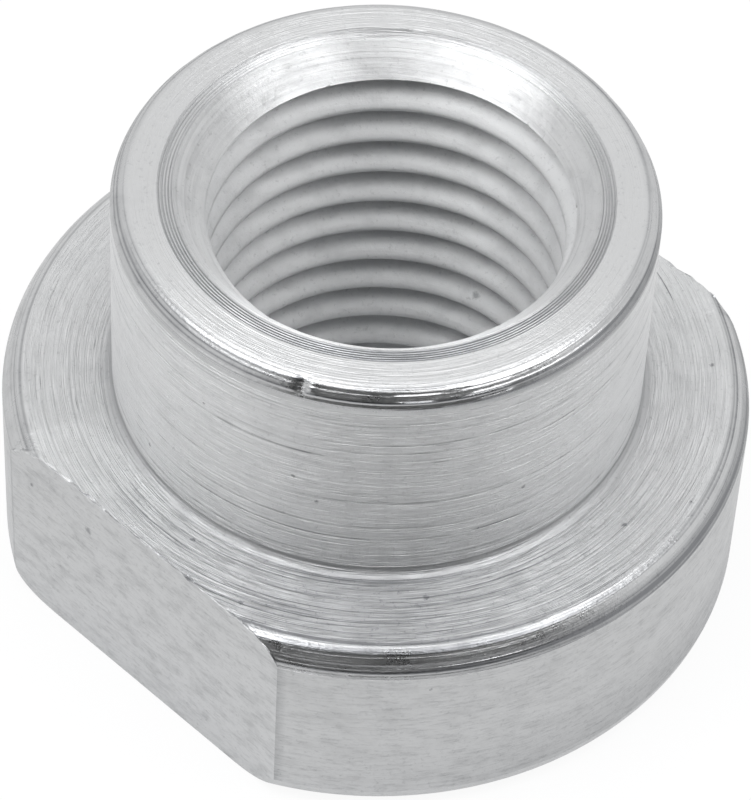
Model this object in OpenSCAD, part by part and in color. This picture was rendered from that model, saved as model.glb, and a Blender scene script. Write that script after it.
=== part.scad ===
// Threaded nut, turned from bar in one piece: a round flange with two milled
// spanner flats, and a plain round boss above it.
// The axis of the thread is Z, the flange's bearing face lies on Z = 0, and the
// flats face -Y and +Y. The bore stands at the minor diameter of the thread.

/* [Flange] */
// Diameter of the flange
flange_d = 34.5; // [32:0.5:44]
// Thickness of the flange
flange_h = 10.6; // [6:0.1:16]
// Radius of the round at the flange's upper edge
flange_top_r = 1.1; // [0.2:0.1:2]
// Radius of the round at the flange's lower edge
flange_base_r = 1.2; // [0.2:0.1:2]
// Distance across the two spanner flats
flats_across = 29.6; // [26:0.1:31]
// How far the pair of flats sits off the axis, towards -Y
flats_shift = 0.15; // [0:0.05:0.3]

/* [Boss] */
// Diameter of the boss
boss_d = 24.4; // [23:0.1:25.4]
// Height of the boss above the flange
boss_h = 11.8; // [6:0.1:20]
// Radius of the round at the boss's rim
rim_r = 0.7; // [0.2:0.1:1]
// Radius of the fillet where the boss meets the flange
root_r = 0.4; // [0.1:0.1:0.6]
// Width of the flat ring round the top of the boss
top_ring_w = 1.35; // [0.5:0.05:1.6]

/* [Thread] */
// Major diameter of the thread
thread_d = 18; // [16:0.5:18.5]
// Pitch of the thread
pitch = 2; // [1:0.25:2.5]
// How much wider the drilled hole is than the basic minor diameter
minor_allowance = 0.065; // [0:0.005:0.5]

/* [Mouths] */
// Depth of the shallow dish inside the top ring
dish_depth = 0.1; // [0.05:0.01:0.6]
// How much wider than the thread the upper countersink is
top_mouth_extra = 0.8; // [0.2:0.02:1]
// How much wider than the thread the lower countersink is
base_mouth_extra = 1; // [0.2:0.1:3]
// Angle that each countersink makes with the axis
mouth_angle = 45; // [30:1:60]

/* [Hidden] */
$fn = 180;
flange_r = flange_d / 2;
boss_r = boss_d / 2;
total_h = flange_h + boss_h;
// Basic minor diameter of a metric thread, from the height of its triangle
bore_d = thread_d - 1.0825 * pitch + minor_allowance;
bore_r = bore_d / 2;
dish_r = boss_r - rim_r - top_ring_w;
top_mouth_r = (thread_d + top_mouth_extra) / 2;
base_mouth_r = (thread_d + base_mouth_extra) / 2;
top_mouth_h = (top_mouth_r - bore_r) / tan(mouth_angle);
base_mouth_h = (base_mouth_r - bore_r) / tan(mouth_angle);
// Cutters run past the faces that they open
past = 1;

// A box in section from the axis out to r, with a round of radius low on its
// lower outer corner and one of radius high on its upper outer corner
module rounded_section(r, h, low, high) {
    translate([0, low]) square([r, h - low - high]);
    square([r - low, low]);
    translate([0, h - high]) square([r - high, high]);
    translate([r - low, low]) intersection() {
        circle(low);
        translate([0, -low]) square(low);
    }
    translate([r - high, h - high]) intersection() {
        circle(high);
        square(high);
    }
}

// The hollow round in section, of radius r, in the corner at the origin
module fillet_section(r) {
    difference() {
        square(r);
        translate([r, r]) circle(r);
    }
}

// The turned outline: flange, fillet and boss
module flange_blank() {
    rotate_extrude() rounded_section(flange_r, flange_h, flange_base_r, flange_top_r);
}

module boss_blank() {
    rotate_extrude() {
        square([boss_r, total_h - rim_r]);
        translate([0, total_h - rim_r]) square([boss_r - rim_r, rim_r]);
        translate([boss_r - rim_r, total_h - rim_r]) intersection() {
            circle(rim_r);
            square(rim_r);
        }
        translate([boss_r, flange_h]) fillet_section(root_r);
    }
}

// What the cutter leaves between the two parallel flats
module flats_slab() {
    translate([-flange_d / 2 - past, -flats_across / 2 - flats_shift, -past])
        cube([flange_d + 2 * past, flats_across, flange_h + 2 * past]);
}

// Hole at the minor diameter, with its two countersinks and the top dish
module bore_cutter() {
    translate([0, 0, -past]) cylinder(r = bore_r, h = total_h + 2 * past);
    cylinder(r1 = base_mouth_r, r2 = bore_r, h = base_mouth_h);
    translate([0, 0, -past]) cylinder(r = base_mouth_r, h = past);
    translate([0, 0, total_h - dish_depth - top_mouth_h])
        cylinder(r1 = bore_r, r2 = top_mouth_r, h = top_mouth_h);
    translate([0, 0, total_h - dish_depth])
        cylinder(r1 = top_mouth_r, r2 = dish_r, h = dish_depth);
    translate([0, 0, total_h]) cylinder(r = dish_r, h = past);
}

module nut() {
    color("silver") difference() {
        union() {
            intersection() {
                flange_blank();
                flats_slab();
            }
            boss_blank();
        }
        bore_cutter();
    }
}

nut();
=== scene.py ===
"""Visual model of a round flanged nut with a left-hand thread, on a plain floor."""

import math

import bpy
import numpy as np
from bpy.props import FloatProperty, FloatVectorProperty, PointerProperty
from bpy.types import Operator, Panel, PropertyGroup
from mathutils import Matrix, Vector


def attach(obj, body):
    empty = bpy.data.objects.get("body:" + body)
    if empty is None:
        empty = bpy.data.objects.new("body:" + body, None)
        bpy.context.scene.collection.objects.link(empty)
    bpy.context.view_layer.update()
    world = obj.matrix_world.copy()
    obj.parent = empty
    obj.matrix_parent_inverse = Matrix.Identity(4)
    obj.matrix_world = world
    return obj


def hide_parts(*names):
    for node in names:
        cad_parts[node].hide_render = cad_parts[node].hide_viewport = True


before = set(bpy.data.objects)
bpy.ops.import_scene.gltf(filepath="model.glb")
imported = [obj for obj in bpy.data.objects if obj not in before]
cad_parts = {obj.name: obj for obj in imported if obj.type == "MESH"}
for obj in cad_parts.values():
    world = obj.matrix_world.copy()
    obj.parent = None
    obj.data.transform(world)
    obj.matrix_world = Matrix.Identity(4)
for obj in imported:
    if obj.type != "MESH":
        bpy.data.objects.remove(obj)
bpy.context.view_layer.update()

bl_info = {
    "name": "Threaded Nut",
    "version": (1, 0, 0),
    "blender": (4, 5, 0),
    "location": "3D View > Sidebar > Nut",
    "description": "Builds a round flanged nut with its thread, finish and studio",
    "category": "Object",
}

MM = 0.001
# The camera: direction round the axis from +X, elevation and roll in degrees, distance and height of its
# target in millimetres, and focal length in pixels of an image 751 wide
CAMERA_AZIMUTH, CAMERA_ELEVATION, CAMERA_ROLL = -47.92, 49.0446, 3.1682
CAMERA_DISTANCE, CAMERA_TARGET = 207.14, 8.218
FOCAL_PIXELS, IMAGE_WIDTH, SENSOR_WIDTH = 4462.77, 751, 36.0


def millimetres(name, text, value, low=0.0, high=100.0):
    """A length property that is shown and kept in millimetres."""
    return FloatProperty(name=name, description=text + ", in millimetres", default=value, min=low, max=high,
                         precision=3)


class NutSizes(PropertyGroup):
    """Sizes of the turned and milled body."""

    flange_r: millimetres("Flange radius", "Radius of the flange", 17.25)
    flange_h: millimetres("Flange height", "Thickness of the flange", 10.6)
    flange_top_r: millimetres("Upper round", "Soft turn at the flange's upper edge", 1.1)
    flange_bevel: millimetres("Upper bevel", "Drop of the bevel outside the upper round", 0.95)
    flange_base_r: millimetres("Lower round", "Round at the flange's lower edge", 1.2)
    front_flat: millimetres("Front flat", "Distance of the front flat from the axis", 14.95)
    rear_flat: millimetres("Rear flat", "Distance of the rear flat from the axis", 14.65)
    boss_r: millimetres("Boss radius", "Radius of the boss", 12.2)
    total_h: millimetres("Height", "Height of the whole nut", 22.4)
    rim_r: millimetres("Rim round", "Soft turn at the boss's rim", 0.75)
    rim_bevel: millimetres("Rim bevel", "Drop of the bevel outside the rim's round", 0.66)
    root_r: millimetres("Root fillet", "Fillet where the boss meets the flange", 0.4)
    dish_r: millimetres("Dish radius", "Outer radius of the shallow dish in the boss's face", 10.15)
    dish_depth: millimetres("Dish depth", "Depth of the shallow dish", 0.1)
    top_mouth_r: millimetres("Upper mouth", "Radius of the upper countersink", 9.4)
    base_mouth_r: millimetres("Lower mouth", "Radius of the lower countersink", 9.5)
    thread_r: millimetres("Thread radius", "Radius at the root of the thread's groove", 9.08)
    flank_r: millimetres("Flank radius", "Radius where the flanks stand an eighth of the pitch apart", 8.98)
    bore_r: millimetres("Bore radius", "Radius at the thread's crest", 7.95)
    pitch: millimetres("Pitch", "Pitch of the left-hand thread", 2.0, 0.25, 6.0)
    runout_x: millimetres("Runout X", "Offset of the bore from the boss's axis along X", 0.003, -1.0, 1.0)
    runout_y: millimetres("Runout Y", "Offset of the bore from the boss's axis along Y", 0.056, -1.0, 1.0)
    edge: millimetres("Edge break", "Width of the worn edge round the flats", 0.07)


class NutFinish(PropertyGroup):
    """Colour and surface of the plated steel."""

    steel: FloatVectorProperty(name="Steel", description="Colour of the plated steel", subtype="COLOR",
                               size=3, min=0.0, max=1.0, default=(0.57, 0.575, 0.58))
    # Dark colour for the pits, smudges and streaks, and also for the painted shade and painted dark reflections
    # that the mesh's layer lays on
    grime_and_shade: FloatVectorProperty(name="Grime", description="Colour of the dull film in pits and smudges",
                               subtype="COLOR", size=3, min=0.0, max=1.0, default=(0.21, 0.215, 0.225))
    groove: FloatProperty(name="Groove depth", description="Depth of the lathe's fine grooves",
                          default=0.05 * MM, min=0.0, unit="LENGTH", precision=7)


class StudioSettings(PropertyGroup):
    """Light, floor and camera."""

    softbox: FloatProperty(name="Softbox", description="Radiance of the softbox over the nut", default=0.85,
                           min=0.0)
    softbox_front: millimetres("Softbox forward", "How far it stands towards the camera", 80, -500, 500)
    softbox_left: millimetres("Softbox left", "How far it stands to the camera's left", 40, -500, 500)
    softbox_width: millimetres("Softbox width", "Width of the softbox across the camera's view", 900, 1, 2000)
    softbox_depth: millimetres("Softbox depth", "Depth of the softbox along the camera's view", 300, 1, 2000)
    left_lamp: FloatProperty(name="Left lamp", description="Radiance of the lamp on the camera's left",
                             default=4.2, min=0.0)
    right_lamp: FloatProperty(name="Right lamp", description="Radiance of the lamp on the camera's right",
                              default=3.1, min=0.0)
    left_turn: FloatProperty(name="Left turn", description="Degrees from the camera to the left lamp",
                             default=60.0)
    right_turn: FloatProperty(name="Right turn", description="Degrees from the camera to the right lamp",
                              default=62.0)
    left_height: FloatProperty(name="Left height", description="Elevation of the left lamp in degrees",
                               default=68.0)
    right_height: FloatProperty(name="Right height", description="Elevation of the right lamp in degrees",
                                default=61.0)
    lamp_size: millimetres("Lamp size", "Side of each square lamp", 150, 1, 1000)
    grey_card: FloatProperty(name="Grey card", description="Tone of the wide card behind the camera",
                             default=0.3, min=0.0, max=1.0)
    black_card: FloatProperty(name="Black card", description="Tone of the narrow card behind the camera",
                              default=0.01, min=0.0, max=1.0)
    sky: FloatProperty(name="Fill", description="Strength of the pale surroundings as light", default=0.85,
                       min=0.0)
    floor: FloatVectorProperty(name="Floor", description="Colour of the floor", subtype="COLOR", size=3,
                               min=0.0, max=1.0, default=(0.81, 0.815, 0.83))


# ---------------------------------------------------------------- shape

# The sections of the rows, in their order from the lower mouth round to it again
AT_BASE, AT_SIDE, AT_SHOULDER, AT_FILLET, AT_WALL, AT_RIM, AT_DISH, AT_BORE = range(8)
# The groove's root stands this high, in millimetres, at this angle round the axis
ROOT_HEIGHT, ROOT_ANGLE = 22.05, 177.08
# Rows of one turn of the thread, as depths below the groove's root, in pitches
THREAD_ROWS = np.array([0, 0.045, 0.085, 0.16, 0.23, 0.28, 0.33, 0.38, 0.43, 0.475, 0.525, 0.57, 0.62, 0.67,
                        0.72, 0.77, 0.84, 0.915, 0.955])
# Widths over which the corners of the thread's root and crest are rounded, in millimetres
ROOT_SOFT, CREST_SOFT = 0.30, 0.85
# Columns of points on each round side and on each flat
SIDE_COLUMNS, FLAT_COLUMNS = 77, 51
# Lean of a turned edge in degrees: where its soft turn ends, and where its bevel starts and ends
TURN_END, BEVEL_START, BEVEL_END = 32, 43, 70
# Distance between the tool's rings on the shoulder's bevel and on the rim's, in millimetres
SHOULDER_RINGS, RIM_RINGS = 0.30, 0.22
# Seeds of the waves round the axis: width, height and film of the flats' burrs, the rings on the two bevels,
# and the first scored line, from which the other lines count on
BURR_SEED, LIP_SEED, SPOT_SEED, SHOULDER_SEED, RIM_SEED, SCORE_SEED = 5, 6, 41, 31, 32, 20
# Rings in the dish: shares of its width, and shares of its depth below the top ring
DISH_STEPS = np.array([0.15, 0.20, 0.34, 0.39, 0.52, 0.57, 0.69, 0.74, 0.85, 0.90])
DISH_DROPS = np.array([0.80, 0.50, 1.10, 0.80, 1.25, 0.95, 1.35, 1.05, 1.35, 1.05])
# Scored lines round the boss: height, depth, middle angle and half width of each, in millimetres and degrees,
# and the half width of a line across and the angle over which its ends fade
SCORES = ((20.68, 0.010, 0, 180), (20.43, 0.012, 0, 180), (19.27, 0.012, 0, 180), (18.75, 0.010, 0, 180),
          (18.21, 0.018, -30, 110), (15.95, 0.014, -43, 25), (15.40, 0.014, -60, 100),
          (13.72, 0.014, 20, 120), (12.90, 0.026, -46, 48), (11.59, 0.016, -50, 120))
SCORE_WIDTH, SCORE_FADE = 0.04, 12
# Small dark pits on the nut: place and radius in millimetres
PITS = ((-2.65, -11.9, 12.45, 0.12), (1.0, -12.15, 18.55, 0.1), (5.35, -10.95, 16.45, 0.13),
        (6.3, -10.45, 15.05, 0.12), (11.8, -3.15, 14.75, 0.14), (12.2, -0.45, 13.85, 0.1),
        (11.05, -5.1, 12.9, 0.12), (11.0, -8.15, 10.6, 0.17), (14.25, 1.25, 10.6, 0.12),
        (10.65, 11.25, 10.6, 0.14), (15.45, 4.4, 10.6, 0.12), (-3.5, -14.95, 8.2, 0.25),
        (-7.25, -14.95, 8.2, 0.15), (5.55, -14.2, 10.6, 0.12), (1.5, -13.25, 10.6, 0.12),
        (5.1, -10.55, 22.2, 0.22), (13.65, -10.5, 8.6, 0.1), (-1.45, 8.3, 7.95, 0.24),
        (-1.25, 8.3, 8.25, 0.2), (-1.7, 8.2, 7.65, 0.2))
# The dent in the rim: its angle, length and depth, in degrees and millimetres
DENT_ANGLE, DENT_LENGTH, DENT_DEPTH = -63.3, 0.24, 0.13
# Edges that turn by more than this many degrees are shaded sharp
SHARP_ANGLE = 34


def wobble(angle, seed, low, high, roughness=0.8):
    """Sum of sine waves round the axis with whole wave numbers from low to high, so it closes on itself.
    Each wave has a drawn phase, and an amplitude that falls as the wave number to the power -roughness."""
    draw = np.random.RandomState(seed)
    waves = np.arange(low, high + 1)
    phases = draw.uniform(0, 2 * math.pi, len(waves))
    size = waves ** -float(roughness)
    total = (np.sin(angle[:, None] * waves + phases) * size).sum(1)
    return total / math.sqrt((size ** 2).sum() / 2)


def soft_min(a, b, k):
    """The smaller of a and b, with the corner between them rounded over a width of k."""
    h = np.maximum(k - np.abs(a - b), 0)
    return np.minimum(a, b) - h * h / (4 * k)


def column_angles(s):
    """Angles of the mesh's columns, in radians, and for each gap between two 0 on a side, 1 or 2 on a flat.
    The flats' corners stand at the arc cosine of flat distance over flange radius from -Y and +Y. Columns are
    even on the round sides, and follow a sine on the flats, which crowds them towards the corners."""
    front = math.acos(s.front_flat / s.flange_r)
    rear = math.acos(s.rear_flat / s.flange_r)
    quarter = math.pi / 2
    crowded = np.sin(np.linspace(-quarter, quarter, FLAT_COLUMNS))
    right = np.linspace(-quarter + front, quarter - rear, SIDE_COLUMNS)[:-1]
    back = quarter + rear * crowded[:-1]
    left = np.linspace(quarter + rear, 3 * quarter - front, SIDE_COLUMNS)[:-1]
    face = 3 * quarter + front * crowded
    angle = np.concatenate([right, back, left, face])
    side, flat = np.zeros(SIDE_COLUMNS - 1, int), np.ones(FLAT_COLUMNS - 1, int)
    on_flat = np.concatenate([side, 2 * flat, side, flat])
    return angle, on_flat


def flange_reach(angle, s):
    """Radius of the flange's side at each angle: the flange's own, or flat distance over the angle's sine."""
    sine = np.sin(angle)
    reach = np.full_like(angle, s.flange_r)
    front, rear = sine < -1e-9, sine > 1e-9
    reach[front] = np.minimum(reach[front], s.front_flat / -sine[front])
    reach[rear] = np.minimum(reach[rear], s.rear_flat / sine[rear])
    return reach


def edge_path(inner, outer, soft, bevel):
    """Radii and drops of a turned face from the radius inner out to its corner at the radius outer, as the
    tool left it: flat, then a soft turn of radius soft, then a bulged bevel that leans more and more and drops
    bevel. Each is summed up from the cosine and sine of its lean."""
    lean_soft = np.radians(np.linspace(0, TURN_END, 40))
    lean_bevel = np.radians(np.linspace(BEVEL_START, BEVEL_END, 80))
    share = bevel / np.sin(lean_bevel).sum()
    width = share * np.cos(lean_bevel).sum() + soft * math.sin(lean_soft[-1])
    lean = np.concatenate([lean_soft, lean_bevel])
    arc = soft * lean_soft[-1] / len(lean_soft)
    step = np.concatenate([np.full(len(lean_soft), arc), np.full(len(lean_bevel), share)])
    start = outer - width
    r = start + np.cumsum(step * np.cos(lean))
    drop = np.cumsum(step * np.sin(lean))
    r = start + (r - start) * (outer - start) / (r[-1] - start)
    return np.concatenate([[inner, start], r]), np.concatenate([[0, 0], drop])


def round_path(inner, outer, radius):
    """Radii and drops of a face from the radius inner out, with a quarter round of the given radius."""
    turn = np.radians(np.linspace(0, 90, 61))
    r = outer - radius + radius * np.sin(turn)
    return np.concatenate([[inner], r]), np.concatenate([[0], radius * (1 - np.cos(turn))])


def cut_path(reach, path, fractions, pull):
    """Points on a path of radii and drops, up to the reach. With the length along the path as measure, they
    stand at the given fractions of it, less pull at its end. Returns their radii and drops, and the drop at
    the reach."""
    path_r, path_drop = path
    length = np.concatenate([[0], np.cumsum(np.hypot(np.diff(path_r), np.diff(path_drop)))])
    end = np.interp(reach, path_r, length)
    along = (end - pull)[:, None] * fractions
    r, drop = np.interp(along, length, path_r), np.interp(along, length, path_drop)
    return r, drop, np.interp(end, length, path_drop)


def tool_rings(angle, r, drop, period, seed):
    """Moves a bevel in and out by the faint rings that the tool left: a sine of the sum of radius and drop,
    which fades in over the soft turn and out at the bevel's end, and whose height and phase are uneven round
    the axis. A constant part keeps the rings inside the face."""
    end = drop.max()
    fade = np.clip(drop / 0.12, 0, 1) * np.clip((end - drop) / 0.1, 0, 1)
    phase = 0.5 * wobble(angle, seed, 1, 9, 0.6)[:, None]
    height = 0.010 * (1 + 0.4 * np.clip(wobble(angle, seed + 1, 2, 60, 0.5), -2, 0.9))[:, None]
    wave = fade * height * np.sin(2 * math.pi * (r + drop) / period + phase)
    return r + 0.8 * wave - 0.012 * fade, drop - 0.6 * wave + 0.009 * fade


def broken_edge(before_r, before_z, corner_r, corner_z, after_r, after_z):
    """Middle point of the quadratic curve that rounds a corner between two points."""
    return (before_r + 2 * corner_r + after_r) / 4, (before_z + 2 * corner_z + after_z) / 4


def degrees_from(middle, angle):
    """Degrees round the axis from the direction middle to each angle, between -180 and 180."""
    return (np.degrees(angle) - middle + 180) % 360 - 180


def scored_wall(angle, low, high, s):
    """Radii and heights of the boss's side between the heights low and high, with the scored lines cut in.
    Each line is uneven round the axis and fades out at the ends of its arc."""
    levels = [np.linspace(low, high, 30)[1:-1]]
    levels += [np.array([z - 0.09, z - 0.03, z + 0.03, z + 0.09]) for z, *_ in SCORES]
    wall_z = np.unique(np.round(np.concatenate(levels), 3))
    depth = np.zeros((len(angle), len(wall_z)))
    for i, (z, deep, middle, half) in enumerate(SCORES):
        away = np.abs(degrees_from(middle, angle))
        strength = np.clip(0.75 + 0.5 * wobble(angle, SCORE_SEED + i, 2, 60, 0.5), 0, 2)
        strength = strength * np.clip((half - away) / SCORE_FADE, 0, 1)
        depth += deep * strength[:, None] * np.exp(-(((wall_z - z) / SCORE_WIDTH) ** 2))
    return s.boss_r - depth, wall_z


def dented(angle, r, drop, s):
    """Pushes the rim in and down at the dent, and raises a lip beside it."""
    along = np.radians(degrees_from(DENT_ANGLE, angle))[:, None] * s.boss_r / DENT_LENGTH
    dent = DENT_DEPTH * (np.exp(-along ** 2) - 0.45 * np.exp(-(((along - 1.9) / 0.7) ** 2)))
    dent = dent * np.exp(-(((drop - 0.3) / 0.25) ** 2)) * (drop > 0.01)
    return r - 0.7 * dent, drop + 0.7 * dent


def outer_rows(angle, s):
    """Radii, heights, section numbers and polish of the outer rows, from the lower mouth out over the base,
    up the side, in over the shoulder, up the boss and in to the upper countersink, one column per angle."""
    reach = flange_reach(angle, s)
    cut = np.clip((s.flange_r - reach) / 0.05, 0, 1)
    worn = np.full_like(reach, s.edge)
    burr = s.edge * (1 + cut * np.clip(1.3 * wobble(angle, BURR_SEED, 6, 150, 0.1), -0.6, 3.0))
    n = len(angle)
    ones = np.ones((n, 1))

    base_steps = np.concatenate([np.linspace(0, 0.74, 4), np.linspace(0.811, 1, 12)])
    base_path = round_path(s.base_mouth_r, s.flange_r, s.flange_base_r)
    base_r, base_z, low = cut_path(reach, base_path, base_steps, worn)
    inner = s.boss_r + s.root_r
    top_steps = np.concatenate([np.linspace(0, 0.62, 9), np.linspace(0.66, 1, 26)])
    top_path = edge_path(inner, s.flange_r, s.flange_top_r, s.flange_bevel)
    top_r, drop, fall = cut_path(reach, top_path, top_steps, burr)
    high = s.flange_h - fall
    top_r, drop = tool_rings(angle, top_r, drop, SHOULDER_RINGS, SHOULDER_SEED)
    top_z = s.flange_h - drop
    side_low, side_high = low + worn, high - burr
    side_z = side_low[:, None] + (side_high - side_low)[:, None] * np.linspace(0, 1, 9)
    side_r = reach[:, None] * np.ones_like(side_z)
    low_r, low_z = broken_edge(base_r[:, -1], base_z[:, -1], reach, low, reach, side_low)
    high_r, high_z = broken_edge(top_r[:, -1], top_z[:, -1], reach, high, reach, side_high)
    high_z = high_z + 0.07 * cut * np.clip(wobble(angle, LIP_SEED, 20, 200, 0.0), -0.4, 1.5)

    turn = np.radians(np.linspace(0, 90, 7)[1:])
    fillet_r = inner - s.root_r * np.sin(turn)
    fillet_z = s.flange_h + s.root_r * (1 - np.cos(turn))
    rim_path = edge_path(s.dish_r, s.boss_r, s.rim_r, s.rim_bevel)
    rim_z = s.total_h - rim_path[1][-1]
    wall_r, wall_z = scored_wall(angle, s.flange_h + s.root_r, rim_z, s)

    rim_steps = np.concatenate([np.linspace(1, 0.36, 26), np.linspace(0.33, 0, 5)])
    rim_r, rim_drop, _ = cut_path(np.full(n, s.boss_r), rim_path, rim_steps, np.zeros(n))
    rim_r, rim_drop = tool_rings(angle, rim_r, rim_drop, RIM_RINGS, RIM_SEED)
    rim_r, rim_drop = dented(angle, rim_r, rim_drop, s)
    rim_up = s.total_h - rim_drop
    # The dish falls inwards in saw-tooth rings, as the turning tool left them
    d = s.dish_r - s.top_mouth_r
    dish_r = s.dish_r - d * DISH_STEPS
    dish_z = s.total_h - s.dish_depth * DISH_DROPS

    parts = [
        (base_r, base_z, AT_BASE, 0.0),
        (low_r[:, None], low_z[:, None], AT_SIDE, 0.0),
        (side_r, side_z, AT_SIDE, 0.0),
        (high_r[:, None], high_z[:, None], AT_SHOULDER, 0.6),
        (top_r[:, ::-1], top_z[:, ::-1], AT_SHOULDER, np.clip(drop[:, ::-1] / 0.08, 0, 1)),
        (fillet_r * ones, fillet_z * ones, AT_FILLET, -0.5),
        (wall_r, wall_z * ones, AT_WALL, 0.0),
        (rim_r, rim_up, AT_RIM, np.clip(rim_drop / 0.05, 0, 1)),
        (dish_r * ones, dish_z * ones, AT_DISH, 0.3),
    ]
    polish = [level * np.ones_like(r) for r, _, _, level in parts]
    section = np.concatenate([np.full(r.shape[1], part) for r, _, part, _ in parts])
    r = np.concatenate([p[0] for p in parts], 1)
    z = np.concatenate([p[1] for p in parts], 1)
    return r, z, section, np.concatenate(polish, 1)


def thread_radius(depth, s):
    """Radius of the thread at a depth below the groove's root, in pitches. Flanks lean 30 degrees, so the
    radius falls by 1/tan 30 for each unit along the axis, between a root and a crest that are flat and a
    little rounded at their corners."""
    off = np.abs((depth + 0.5) % 1 - 0.5) * s.pitch
    flank = s.flank_r - (off - s.pitch / 16) / math.tan(math.radians(30))
    hollow = soft_min(np.full_like(off, s.thread_r), flank, ROOT_SOFT)
    return -soft_min(-hollow, np.full_like(off, -s.bore_r), CREST_SOFT)


def bore_rows(angle, s):
    """Radii and heights of the bore's rows, from the upper mouth down to the lower. Each row follows the
    left-hand helix, so its height falls by one pitch per turn. The radius is the largest of the thread's and
    the two countersinks', and a row beside the line where they meet is moved onto that line."""
    top, base = s.total_h - s.dish_depth, 0.0
    root = ROOT_HEIGHT - s.pitch * (np.degrees(angle) - ROOT_ANGLE) / 360
    turns = np.arange(int(math.ceil(s.total_h / s.pitch)) + 3)
    rows = (turns[:, None] + THREAD_ROWS).ravel()
    z = root[:, None] + s.pitch * (1 - rows)

    def thread(z):
        return thread_radius((root[:, None] - z) / s.pitch, s)

    def mouths(z):
        return np.maximum(s.top_mouth_r - (top - z), s.base_mouth_r - z)

    gap = thread(z) - mouths(z)
    before, after = gap[:, :-1], gap[:, 1:]
    share = before / np.where(before == after, 1, before - after)
    meet = z[:, :-1] + share * (z[:, 1:] - z[:, :-1])
    crossing = before * after < 0
    z[:, :-1] = np.where(crossing & (share < 0.5), meet, z[:, :-1])
    z[:, 1:] = np.where(crossing & (share >= 0.5), meet, z[:, 1:])
    z = np.clip(z, base, top)
    r = np.maximum(thread(z), mouths(z))
    r = np.where(z >= top, s.top_mouth_r, np.where(z <= base, s.base_mouth_r, r))
    return r, z


def closed_grid(x, y, z, u, v, material, layers):
    """Mesh data of a grid whose first and last columns and rows lie on each other: points that coincide are
    merged, squares that lost a side become triangles, and those that lost more are dropped."""
    columns, rows = x.shape
    points = np.stack([x, y, z], -1).reshape(-1, 3)
    keys = np.round(points * 1e4).astype(np.int64)
    _, first, index = np.unique(keys, axis=0, return_index=True, return_inverse=True)
    index = index.reshape(columns, rows)
    a, b = index[:-1, :-1], index[1:, :-1]
    c, d = index[1:, 1:], index[:-1, 1:]
    squares = np.stack([a, b, c, d], -1).reshape(-1, 4)
    grid_u = np.stack([u[:-1, :-1], u[1:, :-1], u[1:, 1:], u[:-1, 1:]], -1).reshape(-1, 4)
    grid_v = np.stack([v[:-1, :-1], v[1:, :-1], v[1:, 1:], v[:-1, 1:]], -1).reshape(-1, 4)
    keep = squares != np.roll(squares, -1, axis=1)
    sides = keep.sum(1)
    whole = sides >= 3
    keep, sides = keep[whole], sides[whole]
    loops = squares[whole][keep]
    starts = np.concatenate([[0], np.cumsum(sides)[:-1]])
    uv = np.stack([grid_u[whole][keep], grid_v[whole][keep]], -1)
    layers = [layer.reshape(-1)[first] for layer in layers]
    return points[first], loops, starts, uv, material.reshape(-1)[whole], layers


def mesh_from(name, points, loops, starts, uv, material, layers):
    """A smooth mesh in metres from arrays in millimetres, with its UV map and named point layers."""
    mesh = bpy.data.meshes.new(name)
    mesh.vertices.add(len(points))
    mesh.vertices.foreach_set("co", (points * MM).ravel())
    mesh.loops.add(len(loops))
    mesh.loops.foreach_set("vertex_index", loops)
    mesh.polygons.add(len(starts))
    mesh.polygons.foreach_set("loop_start", starts)
    mesh.update(calc_edges=True)
    mesh.uv_layers.new(name="Turned").uv.foreach_set("vector", uv.ravel())
    mesh.polygons.foreach_set("material_index", material)
    for label, values in layers.items():
        mesh.attributes.new(label, "FLOAT", "POINT").data.foreach_set("value", values)
    if mesh.validate():
        raise RuntimeError(name + " isn't a valid mesh")
    mesh.shade_smooth()
    mesh.set_sharp_from_angle(angle=math.radians(SHARP_ANGLE))
    return mesh


# ---------------------------------------------------------------- finish

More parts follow.
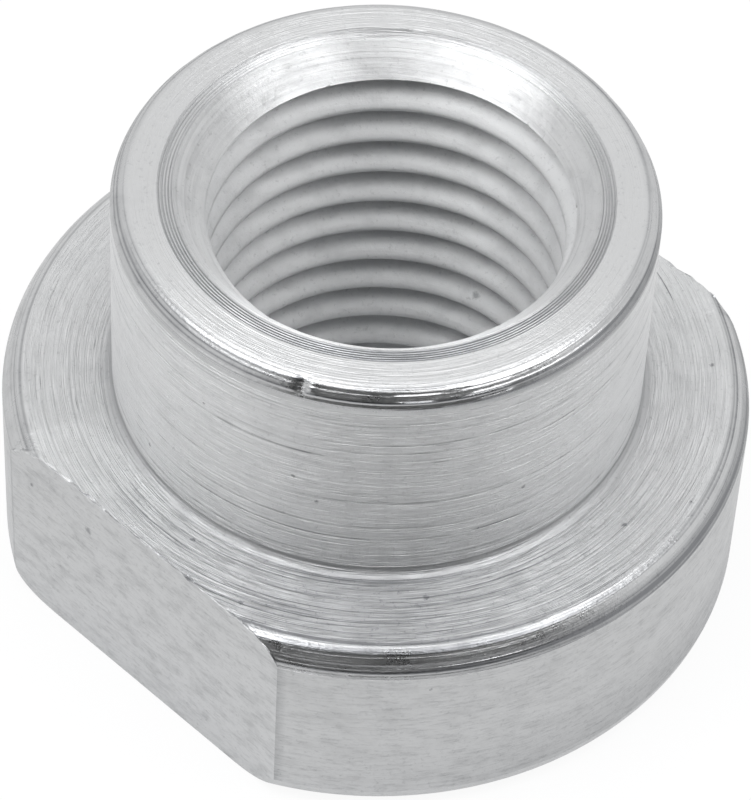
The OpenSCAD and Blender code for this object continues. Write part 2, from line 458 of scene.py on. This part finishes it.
# The finishes, each with its roughness when rough and when polished, the strength of the lathe's lines, streaks
# and rings, the grain, the smudges and the anisotropy, and what else sets it apart, among that a lightness that
# paints in light and shade by making the same steel lighter or darker for the light its region gets
TURNED, SIDE, FLAT, CONE, DISH, WALL, THREAD, ROUND, SHOULDER = range(9)
FINISHES = (
    ("turned_steel", dict(rough=0.38, polished=0.24, lines=0.9, streaks=0.10, rings=0.6, grain=0.3,
                          smudge=0.10, anisotropy=0.3, painted_lightness=0.94)),
    ("flange_side_steel", dict(rough=0.5, polished=0.24, lines=0.4, streaks=0.25, rings=0.2, grain=0.4,
                               smudge=0.12, anisotropy=0.0, painted_lightness=0.95, flecks=(4, 4, 0.7), pits=True)),
    ("milled_flat_steel", dict(rough=0.5, polished=0.24, lines=0.0, streaks=0.0, rings=0.0, grain=0.4,
                               smudge=0.28, anisotropy=0.0, painted_lightness=0.96, flecks=(4, 1, 0.7), pits=True)),
    ("countersink_steel", dict(rough=0.5, polished=0.5, lines=1.1, streaks=0.25, rings=0.7, grain=0.3,
                               smudge=0.1, anisotropy=0.9, lean=-0.27, painted_lightness=1.1)),
    ("dish_steel", dict(rough=0.38, polished=0.38, lines=1.0, streaks=0.15, rings=0.7, grain=0.3,
                        smudge=0.1, anisotropy=0.5, lean=0.33)),
    ("boss_side_steel", dict(rough=0.45, polished=0.5, lines=3.0, streaks=0.50, rings=1.6, grain=0.4,
                             smudge=0.15, anisotropy=0.5, painted_lightness=1.08, pits=True)),
    ("thread_steel", dict(rough=0.6, polished=0.6, lines=0.3, streaks=0.05, rings=0.0, grain=0.4,
                          smudge=0.15, anisotropy=0.3, painted_lightness=1.05, metal=0.5, pits=True)),
    ("bevel_steel", dict(rough=0.3, polished=0.3, lines=0.6, streaks=0.25, rings=1.5, grain=0.5,
                         smudge=0.15, anisotropy=0.5, pits=True)),
    ("shoulder_steel", dict(rough=0.45, polished=0.33, lines=2.4, streaks=0.50, rings=0.8, grain=0.3,
                            smudge=0.1, anisotropy=0.5, painted_lightness=1.1, pits=True)))
# Directions round the axis, in degrees, about which the painted dark reflection at the front and the painted
# shade on the right lie thickest
PAINTED_DARK_FRONT, PAINTED_SHADE_RIGHT = -48, 12


def surface_kinds(r, z, section, polish, on_flat, s):
    """Number of each face's finish: by its section, with the bevels told by their polish, and the thread by
    standing off the two countersinks' cones."""
    part = np.maximum(section[:-1], section[1:])
    kind = np.full((len(on_flat), len(part)), TURNED)
    kind[:, part == AT_SIDE] = np.where(on_flat > 0, FLAT, SIDE)[:, None]
    kind[:, part == AT_DISH] = DISH
    kind[:, part == AT_WALL] = WALL
    kind[:, part == AT_SHOULDER] = SHOULDER
    bevel = ((part == AT_SHOULDER) | (part == AT_RIM)) & ((polish[:-1, :-1] + polish[1:, 1:]) > 1)
    kind[bevel] = ROUND
    middle_r, middle_z = (r[:-1, :-1] + r[1:, 1:]) / 2, (z[:-1, :-1] + z[1:, 1:]) / 2
    top = s.total_h - s.dish_depth
    cones = np.maximum(s.top_mouth_r - (top - middle_z), s.base_mouth_r - middle_z)
    threaded = (middle_r >= cones + 0.01) & (middle_z < top - 1.5)
    inside = part == AT_BORE
    kind[:, inside] = np.where(threaded[:, inside], THREAD, CONE)
    return kind


def film_and_painted_shade(angle, on_flat, r, z, section, polish, s):
    """Thickness at each point of the layer that darkens the colour: partly a dull film, partly painted shade. A
    painted dark reflection lies on the front of the shoulder, the rim's top ring and the dish. Painted shade
    lies low on the right of the bevels and of the flange's side, and in the fillet. The layer also darkens the
    bevels, the dish, the scored lines and the dish's grooves, lays a dull film along the flats' burred upper
    edges and runs faintly down their corners."""
    front = np.clip(np.cos(angle - math.radians(PAINTED_DARK_FRONT)), 0, 1)[:, None] ** 2
    right = np.clip(np.cos(angle - math.radians(PAINTED_SHADE_RIGHT)), 0, 1)[:, None] ** 2
    shoulder, side = section == AT_SHOULDER, section == AT_SIDE
    bright = np.clip(polish, 0, 1)
    fall = np.where(shoulder, s.flange_h, s.total_h) - z
    low = np.clip((fall - 0.35) / 0.25, 0, 1)
    # Painted shade in the fillet and the row beside it, and a painted dark reflection in the band at the front
    # just above the flange's bevel
    layer = np.where(section == AT_FILLET, 0.42, 0.0) * np.ones_like(r)
    layer[:, np.flatnonzero(shoulder)[-1]] = 0.15
    band = np.exp(-(((fall - 0.012) / 0.012) ** 2)) * (fall > 0.001)
    layer = layer + np.where(shoulder, 0.45 * front * band, 0)
    # Shoulder, rim, dish and scored lines: a painted dark reflection on the front of the flat shoulder, the
    # rim's top ring and the dish, painted shade low on the right of the bevels, and darker bevels, dish, dish
    # rings and scored lines
    on_shoulder = 0.56 * front * (1 - bright) + (0.18 + 0.5 * right * low) * bright
    on_rim = (0.25 + 0.5 * right * low) * bright + 0.12 * front * (1 - bright)
    layer = layer + np.where(shoulder, on_shoulder, 0) + np.where(section == AT_RIM, on_rim, 0)
    layer = layer + np.where(section == AT_DISH, 0.1 + 0.6 * front, 0)
    layer[:, np.flatnonzero(section == AT_DISH)[::2]] += 0.25
    layer = layer + np.where(section == AT_WALL, np.clip((s.boss_r - r) / 0.02, 0, 1.2) * 0.5, 0)
    # Dull film on the flats' burred upper edges, darker down the flats' corners, and painted shade low on the
    # right of the flange's round side
    spots = np.clip(0.4 * wobble(angle, SPOT_SEED, 20, 240, 0.0), 0, 0.7) * np.append(on_flat > 0, True)
    layer[:, np.flatnonzero(shoulder)[0]] += spots
    corners = np.append(np.diff(on_flat, prepend=on_flat[-1]) != 0, True)
    layer += 0.3 * corners[:, None] * side
    round_side = np.append(on_flat == 0, False)[:, None] * side
    return layer + 0.24 * right * np.clip((5 - z) / 3, 0, 1) * round_side


def add_node(tree, kind, *inputs, **settings):
    """Adds a node. Inputs go to its sockets in order as values or links, and None leaves one as it is;
    settings are its own properties, and a setting whose name is a socket's goes to that socket."""
    node = tree.nodes.new(kind)
    named = {socket.name.replace(" ", "_"): socket for socket in node.inputs}
    for key, value in list(settings.items()):
        if key not in named:
            setattr(node, key, value)
            settings.pop(key)
    named = {socket.name.replace(" ", "_"): socket for socket in node.inputs if socket.enabled}
    pairs = list(zip(node.inputs, inputs)) + [(named[key], value) for key, value in settings.items()]
    for socket, value in pairs:
        if isinstance(value, bpy.types.NodeSocket):
            tree.links.new(value, socket)
        elif value is not None:
            socket.default_value = value
    return node


def calc(tree, operation, *inputs):
    """Output of a Math node."""
    return add_node(tree, "ShaderNodeMath", *inputs, operation=operation).outputs[0]


def spread(tree, value, low, high, to_low, to_high):
    """Output of a Map Range node that clamps."""
    return add_node(tree, "ShaderNodeMapRange", value, low, high, to_low, to_high).outputs[0]


def blend(tree, share, first, second):
    """Output of a colour Mix node."""
    node = add_node(tree, "ShaderNodeMix", data_type="RGBA")
    for socket, value in zip((node.inputs[0], node.inputs[6], node.inputs[7]), (share, first, second)):
        if isinstance(value, bpy.types.NodeSocket):
            tree.links.new(value, socket)
        else:
            socket.default_value = value
    return node.outputs[2]


def across_axis(tree):
    """Object coordinates, their part across the axis, and that part's length, which is the radius."""
    place = add_node(tree, "ShaderNodeTexCoord").outputs["Object"]
    flat = add_node(tree, "ShaderNodeVectorMath", place, (1, 1, 0), operation="MULTIPLY").outputs[0]
    return place, flat, add_node(tree, "ShaderNodeVectorMath", flat, operation="LENGTH").outputs["Value"]


def around(tree, per_mm, per_turn, detail=3.0, roughness=0.6):
    """Noise that runs round the axis: fine across the turned surface and long along it. It is drawn in four
    dimensions, from the radius, the height and the direction round the axis."""
    place, flat, radius = across_axis(tree)
    direction = add_node(tree, "ShaderNodeVectorMath", flat, operation="NORMALIZE").outputs[0]
    part = add_node(tree, "ShaderNodeSeparateXYZ", direction).outputs
    height = add_node(tree, "ShaderNodeSeparateXYZ", place).outputs[2]
    parts = [calc(tree, "MULTIPLY", radius, per_mm / MM)]
    parts += [calc(tree, "MULTIPLY", part[i], per_turn) for i in (0, 1)]
    where = add_node(tree, "ShaderNodeCombineXYZ", *parts).outputs[0]
    return add_node(tree, "ShaderNodeTexNoise", noise_dimensions="4D", Vector=where,
                    W=calc(tree, "MULTIPLY", height, per_mm / MM), Scale=1.0, Detail=detail,
                    Roughness=roughness).outputs[0]


def mottle(tree, scale_mm, stretch=(1, 1, 1), detail=4.0, roughness=0.6):
    """Plain noise on the object's own coordinates, with features of about the given size."""
    place = add_node(tree, "ShaderNodeTexCoord").outputs["Object"]
    scale = [1 / (scale_mm * MM * k) for k in stretch]
    where = add_node(tree, "ShaderNodeMapping", place, Scale=scale).outputs[0]
    return add_node(tree, "ShaderNodeTexNoise", Vector=where, Scale=1.0, Detail=detail,
                    Roughness=roughness).outputs[0]


def plated_steel(name, finish, rough, polished, lines, streaks, rings, grain, smudge, anisotropy, painted_lightness=1.0,
                 lean=0.0, metal=1.0, flecks=None, pits=False):
    """Zinc-plated steel. The roughness runs from rough to polished with the polish layer and a fine noise.
    The lathe's lines and rings and a cast grain are bump, and lean tilts the feed marks' facets to the axis.
    Streaks, smudges, flecks, pits and the layer of dull film and painted shade darken the colour, and a factor
    for each finish makes it lighter or darker: painted light and shade for the light that finish gets."""
    material = bpy.data.materials.new(name)
    material.use_nodes = True
    tree = material.node_tree
    shader = tree.nodes["Principled BSDF"]
    shader.inputs["Metallic"].default_value = metal
    shader.inputs["Anisotropic"].default_value = anisotropy
    shader.inputs["Anisotropic Rotation"].default_value = 0.25
    if anisotropy:
        tangent = add_node(tree, "ShaderNodeTangent", direction_type="UV_MAP", uv_map="Turned").outputs[0]
        tree.links.new(tangent, shader.inputs["Tangent"])
    cloud = mottle(tree, 1.1, (1.5, 1.5, 0.8), 5.0, 0.65)
    speck = mottle(tree, 0.24, (1, 1, 1), 3.0, 0.75)
    polish = add_node(tree, "ShaderNodeAttribute", attribute_name="polish").outputs["Fac"]
    level = calc(tree, "ADD", calc(tree, "MULTIPLY", polish, polished - rough), rough)
    level = calc(tree, "ADD", level, spread(tree, cloud, 0.35, 0.65, -0.04, 0.05))
    tree.links.new(level, shader.inputs["Roughness"])
    share = calc(tree, "ADD", spread(tree, cloud, 0.48, 0.72, 0, smudge),
                 spread(tree, speck, 0.58, 0.76, 0, 0.32))
    # The mesh's layer of dull film and painted shade darkens the colour and strengthens the streaks
    grime_and_shade = add_node(tree, "ShaderNodeAttribute", attribute_name="grime_and_shade").outputs["Fac"]
    share = calc(tree, "ADD", share, grime_and_shade)
    height = calc(tree, "MULTIPLY", speck, grain)
    if lines:
        fine = around(tree, 11.0, 1.5, 3.0, 0.75)
        ring = around(tree, 4.6, 0.4, 2.0, 0.5)
        strength = spread(tree, grime_and_shade, 0, 0.4, 0.35, 1.3)
        streak = spread(tree, fine, 0.50, 0.32, 0, streaks)
        share = calc(tree, "ADD", share, calc(tree, "MULTIPLY", strength, streak))
        if streaks > 0.25:
            dash = around(tree, 9.0, 5.0, 1.0, 0.4)
            share = calc(tree, "ADD", share, spread(tree, dash, 0.73, 0.80, 0, 2.0 * streaks))
        calm = calc(tree, "MULTIPLY_ADD", polish, -0.85 * lines, lines)
        height = calc(tree, "ADD", height, calc(tree, "MULTIPLY", fine, calm))
        deep = calc(tree, "MULTIPLY_ADD", polish, 0.7 * rings, 0.3 * rings)
        height = calc(tree, "ADD", height, calc(tree, "MULTIPLY", ring, deep))
        dull = spread(tree, ring, 0.48, 0.66, 0, 0.5 * rings)
        share = calc(tree, "ADD", share, calc(tree, "MULTIPLY", polish, dull))
    if pits:
        place = add_node(tree, "ShaderNodeTexCoord").outputs["Object"]
        ragged = spread(tree, speck, 0.3, 0.7, -0.09 * MM, 0.09 * MM)
        pit = 0.0
        for x, y, z, radius in PITS:
            centre = (x * MM, y * MM, z * MM)
            away = add_node(tree, "ShaderNodeVectorMath", place, centre, operation="DISTANCE")
            away = calc(tree, "ADD", away.outputs["Value"], ragged)
            pit = calc(tree, "MAXIMUM", spread(tree, away, 0.3 * radius * MM, radius * MM, 0.65, 0), pit)
        share = calc(tree, "ADD", share, pit)
    if flecks:
        fleck = mottle(tree, 0.22, flecks, 4.0, 0.75)
        share = calc(tree, "ADD", share, spread(tree, fleck, 0.50, 0.76, 0, 0.40))
    if lean:
        radius = across_axis(tree)[2]
        height = calc(tree, "ADD", height, calc(tree, "MULTIPLY", radius, lean / finish.groove))
    # Painted light and shade: each finish scales the same steel colour lighter or darker for the light it gets
    steel = [c * 1.105 * painted_lightness for c in finish.steel]
    tree.links.new(blend(tree, calc(tree, "MINIMUM", share, 1.0), (*steel, 1), (*finish.grime_and_shade, 1)),
                   shader.inputs["Base Color"])
    bump = add_node(tree, "ShaderNodeBump", Strength=1.0, Distance=finish.groove, Height=height)
    tree.links.new(bump.outputs[0], shader.inputs["Normal"])
    return material


# ---------------------------------------------------------------- operators

class NUT_OT_body(Operator):
    """Builds the nut's body, with its thread and its plated finish"""

    bl_idname = "nut.body"
    bl_label = "Build Nut"

    def execute(self, context):
        s, finish = context.scene.nut_sizes, context.scene.nut_finish
        angle, on_flat = column_angles(s)
        outer_r, outer_z, section, polish = outer_rows(angle, s)
        bore_r, bore_z = bore_rows(angle, s)
        r = np.concatenate([outer_r, bore_r], 1)
        z = np.concatenate([outer_z, bore_z], 1)
        polish = np.concatenate([polish, np.full(bore_r.shape, 0.5)], 1)
        section = np.concatenate([section, np.full(bore_r.shape[1], AT_BORE)])
        # The bore runs a little off the boss's axis, and the dish and the base take up the difference
        in_bore, dish = section == AT_BORE, np.flatnonzero(section == AT_DISH)
        off = np.where(in_bore, 1.0, np.clip(1 - np.arange(len(section)) / 3, 0, 1))
        off[dish] = np.linspace(0, 1, len(dish) + 2)[1:-1]
        x = r * np.cos(angle)[:, None] + off * s.runout_x
        y = r * np.sin(angle)[:, None] + off * s.runout_y
        # The last column is the first again, apart from the bore's rows, which have run down by one pitch
        x[-1], y[-1] = np.where(in_bore, x[-1], x[0]), np.where(in_bore, y[-1], y[0])
        z[-1] = np.where(in_bore, z[-1], z[0])
        u = (angle - angle[0])[:, None] / (2 * math.pi) * np.ones_like(r)
        path = np.hypot(np.diff(r, axis=1), np.diff(z, axis=1)).max(0)
        v = np.concatenate([[0], np.cumsum(path)]) / 100 * np.ones_like(r)
        kind = surface_kinds(r, z, section, polish, on_flat, s)
        # Layer of dull film and painted shade that darkens the colour
        grime_and_shade = film_and_painted_shade(angle, on_flat, r, z, section, polish, s)
        data = closed_grid(x, y, z, u, v, kind, [polish, grime_and_shade])
        mesh = mesh_from("nut_body", *data[:5], dict(zip(("polish", "grime_and_shade"), data[5])))
        for name, look in FINISHES:
            mesh.materials.append(plated_steel(name, finish, **look))
        nut = bpy.data.objects.new("nut_body", mesh)
        context.scene.collection.objects.link(nut)
        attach(nut, "root")
        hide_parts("nut")
        return {"FINISHED"}


# The floor: how much of it camera rays see as white, and the radii, in metres, between which glossy rays turn
# from seeing it lit and shaded to seeing it white
FLOOR_SEEN, FLOOR_NEAR, FLOOR_FAR = 0.92, 0.010, 0.022
# Side of the square floor and how far it lies below the nut, in metres
FLOOR_SIDE, FLOOR_DROP = 8, 0.00002
# Height of the softbox, distance of the two lamps, and the height that these point at, in metres
SOFTBOX_HEIGHT, LAMP_DISTANCE, LAMP_TARGET = 0.45, 0.25, 0.01
# Cards behind the camera: shift to its right, width, and distance in front of the rearmost, in metres
CARDS = (("grey_card", 0.14, 0.86, 0.0), ("black_card", 0.12, 0.64, 0.01))
# The rearmost card: distance from the axis and height of its middle, its rise, and how far its upper edge
# leans over its lower one, in metres
CARD_DISTANCE, CARD_MIDDLE, CARD_RISE, CARD_LEAN = 0.285, 0.245, 0.43, 0.27


def soft_white(tree, floor_colour, seen, near, far):
    """A surface of floor_colour that camera rays see as nearly white. Glossy and transmitted rays see it as
    white too, from the radius far outwards, and lit and shaded as it is within the radius near."""
    path = add_node(tree, "ShaderNodeLightPath").outputs
    place = add_node(tree, "ShaderNodeTexCoord").outputs["Object"]
    radius = add_node(tree, "ShaderNodeVectorMath", place, operation="LENGTH").outputs["Value"]
    other = calc(tree, "MAXIMUM", path["Is Glossy Ray"], path["Is Transmission Ray"])
    share = calc(tree, "MAXIMUM", calc(tree, "MULTIPLY", path["Is Camera Ray"], seen),
                 calc(tree, "MULTIPLY", other, spread(tree, radius, near, far, 0, 1)))
    lit = add_node(tree, "ShaderNodeBsdfDiffuse", floor_colour).outputs[0]
    white = add_node(tree, "ShaderNodeEmission", (1, 1, 1, 1), 1.0).outputs[0]
    return add_node(tree, "ShaderNodeMixShader", share, lit, white).outputs[0]


def card(name, centre, across, up, material):
    """A flat rectangle of four points, half of across and half of up to each side of its centre."""
    corners = [Vector(centre) + Vector(across) * i + Vector(up) * j
               for i, j in ((-0.5, -0.5), (0.5, -0.5), (0.5, 0.5), (-0.5, 0.5))]
    mesh = bpy.data.meshes.new(name)
    mesh.from_pydata(corners, [], [(0, 1, 2, 3)])
    mesh.materials.append(material)
    thing = bpy.data.objects.new(name, mesh)
    bpy.context.scene.collection.objects.link(thing)
    return thing


def plain_material(name):
    """A new material and its tree, with only the output node left."""
    material = bpy.data.materials.new(name)
    material.use_nodes = True
    tree = material.node_tree
    tree.nodes.remove(tree.nodes["Principled BSDF"])
    return material, tree, tree.nodes["Material Output"].inputs["Surface"]


def heading(azimuth, elevation):
    """Unit vector at an azimuth from +X and an elevation, in degrees."""
    a, e = math.radians(azimuth), math.radians(elevation)
    return Vector((math.cos(e) * math.cos(a), math.cos(e) * math.sin(a), math.sin(e)))


def area_lamp(name, place, target, width, depth, radiance, roll=0.0):
    """A soft rectangular lamp at a place, turned to a target, with a power of radiance times pi times area."""
    lamp = bpy.data.lights.new(name, "AREA")
    lamp.shape = "RECTANGLE"
    lamp.size, lamp.size_y = width, depth
    lamp.energy = radiance * math.pi * width * depth
    thing = bpy.data.objects.new(name, lamp)
    bpy.context.scene.collection.objects.link(thing)
    turned = (Vector(target) - Vector(place)).to_track_quat("-Z", "Y").to_matrix().to_4x4()
    thing.matrix_world = Matrix.Translation(place) @ turned @ Matrix.Rotation(roll, 4, "Z")
    return thing


class NUT_OT_studio(Operator):
    """Builds the floor, the light and the camera"""

    bl_idname = "nut.studio"
    bl_label = "Build Studio"

    def execute(self, context):
        scene, s = context.scene, context.scene.nut_studio
        material, tree, surface = plain_material("pale_floor")
        white = soft_white(tree, (*s.floor, 1), FLOOR_SEEN, FLOOR_NEAR, FLOOR_FAR)
        tree.links.new(white, surface)
        card("floor", (0, 0, -FLOOR_DROP), (FLOOR_SIDE, 0, 0), (0, FLOOR_SIDE, 0), material)

        world = bpy.data.worlds.new("pale_room")
        scene.world = world
        world.use_nodes = True
        tree = world.node_tree
        path = add_node(tree, "ShaderNodeLightPath").outputs
        seen = calc(tree, "MAXIMUM", path["Is Camera Ray"], path["Is Glossy Ray"])
        seen = calc(tree, "MAXIMUM", seen, path["Is Transmission Ray"])
        strength = add_node(tree, "ShaderNodeMapRange", seen, 0, 1, s.sky, 1.0).outputs[0]
        tree.links.new(strength, tree.nodes["Background"].inputs["Strength"])
        tree.nodes["Background"].inputs["Color"].default_value = (1, 1, 1, 1)

        # The softbox and a lamp on each side over the nut, and the cards that lean over it behind the camera
        away, side = heading(CAMERA_AZIMUTH + 180, 0), heading(CAMERA_AZIMUTH + 90, 0)
        place = away * -s.softbox_front * MM - side * s.softbox_left * MM + Vector((0, 0, SOFTBOX_HEIGHT))
        area_lamp("softbox", place, (0, 0, 0), s.softbox_width * MM, s.softbox_depth * MM, s.softbox,
                  math.radians(CAMERA_AZIMUTH + 90))
        for name, turn, height, radiance in (("left_lamp", -s.left_turn, s.left_height, s.left_lamp),
                                             ("right_lamp", s.right_turn, s.right_height, s.right_lamp)):
            area_lamp(name, heading(CAMERA_AZIMUTH + turn, height) * LAMP_DISTANCE, (0, 0, LAMP_TARGET),
                      s.lamp_size * MM, s.lamp_size * MM, radiance)
        for name, shift, width, near in CARDS:
            material, tree, surface = plain_material(name)
            tone = getattr(s, name)
            tree.links.new(add_node(tree, "ShaderNodeBsdfDiffuse", (tone, tone, tone, 1)).outputs[0], surface)
            middle = away * (near - CARD_DISTANCE) + side * shift + Vector((0, 0, CARD_MIDDLE))
            rise = Vector((0, 0, CARD_RISE)) + away * CARD_LEAN
            card(name, middle, side * width, rise, material).visible_camera = False

        target = Vector((0, 0, CAMERA_TARGET * MM))
        forward = -heading(CAMERA_AZIMUTH, CAMERA_ELEVATION)
        right = forward.cross(Vector((0, 0, 1))).normalized()
        up = right.cross(forward)
        c, n = math.cos(math.radians(CAMERA_ROLL)), math.sin(math.radians(CAMERA_ROLL))
        axes = Matrix((c * right + n * up, c * up - n * right, -forward)).transposed()
        camera = bpy.data.cameras.new("camera")
        camera.sensor_fit, camera.sensor_width = "HORIZONTAL", SENSOR_WIDTH
        camera.lens = FOCAL_PIXELS / IMAGE_WIDTH * SENSOR_WIDTH
        camera.clip_start, camera.clip_end = 0.01, 20
        thing = bpy.data.objects.new("camera", camera)
        scene.collection.objects.link(thing)
        thing.matrix_world = Matrix.Translation(target - forward * CAMERA_DISTANCE * MM) @ axes.to_4x4()
        scene.camera = thing
        scene.view_settings.view_transform = "Standard"
        return {"FINISHED"}


class NUT_PT_sidebar(Panel):
    """Lists the nut's sizes, finish and studio"""

    bl_label = "Nut"
    bl_idname = "NUT_PT_sidebar"
    bl_space_type = "VIEW_3D"
    bl_region_type = "UI"
    bl_category = "Nut"

    def draw(self, context):
        layout = self.layout
        groups = (("nut_sizes", None), ("nut_finish", "nut.body"), ("nut_studio", "nut.studio"))
        for group, operator in groups:
            settings = getattr(context.scene, group)
            box = layout.box()
            for name in settings.bl_rna.properties.keys():
                if name not in ("rna_type", "name"):
                    box.prop(settings, name)
            if operator:
                box.operator(operator)


CLASSES = (NutSizes, NutFinish, StudioSettings, NUT_OT_body, NUT_OT_studio, NUT_PT_sidebar)


def register():
    for cls in CLASSES:
        bpy.utils.register_class(cls)
    bpy.types.Scene.nut_sizes = PointerProperty(type=NutSizes)
    bpy.types.Scene.nut_finish = PointerProperty(type=NutFinish)
    bpy.types.Scene.nut_studio = PointerProperty(type=StudioSettings)


def unregister():
    del bpy.types.Scene.nut_sizes, bpy.types.Scene.nut_finish, bpy.types.Scene.nut_studio
    for cls in reversed(CLASSES):
        bpy.utils.unregister_class(cls)


def main():
    """Builds the nut and its studio."""
    register()
    bpy.ops.nut.body()
    bpy.ops.nut.studio()


if __name__ == "__main__":
    main()
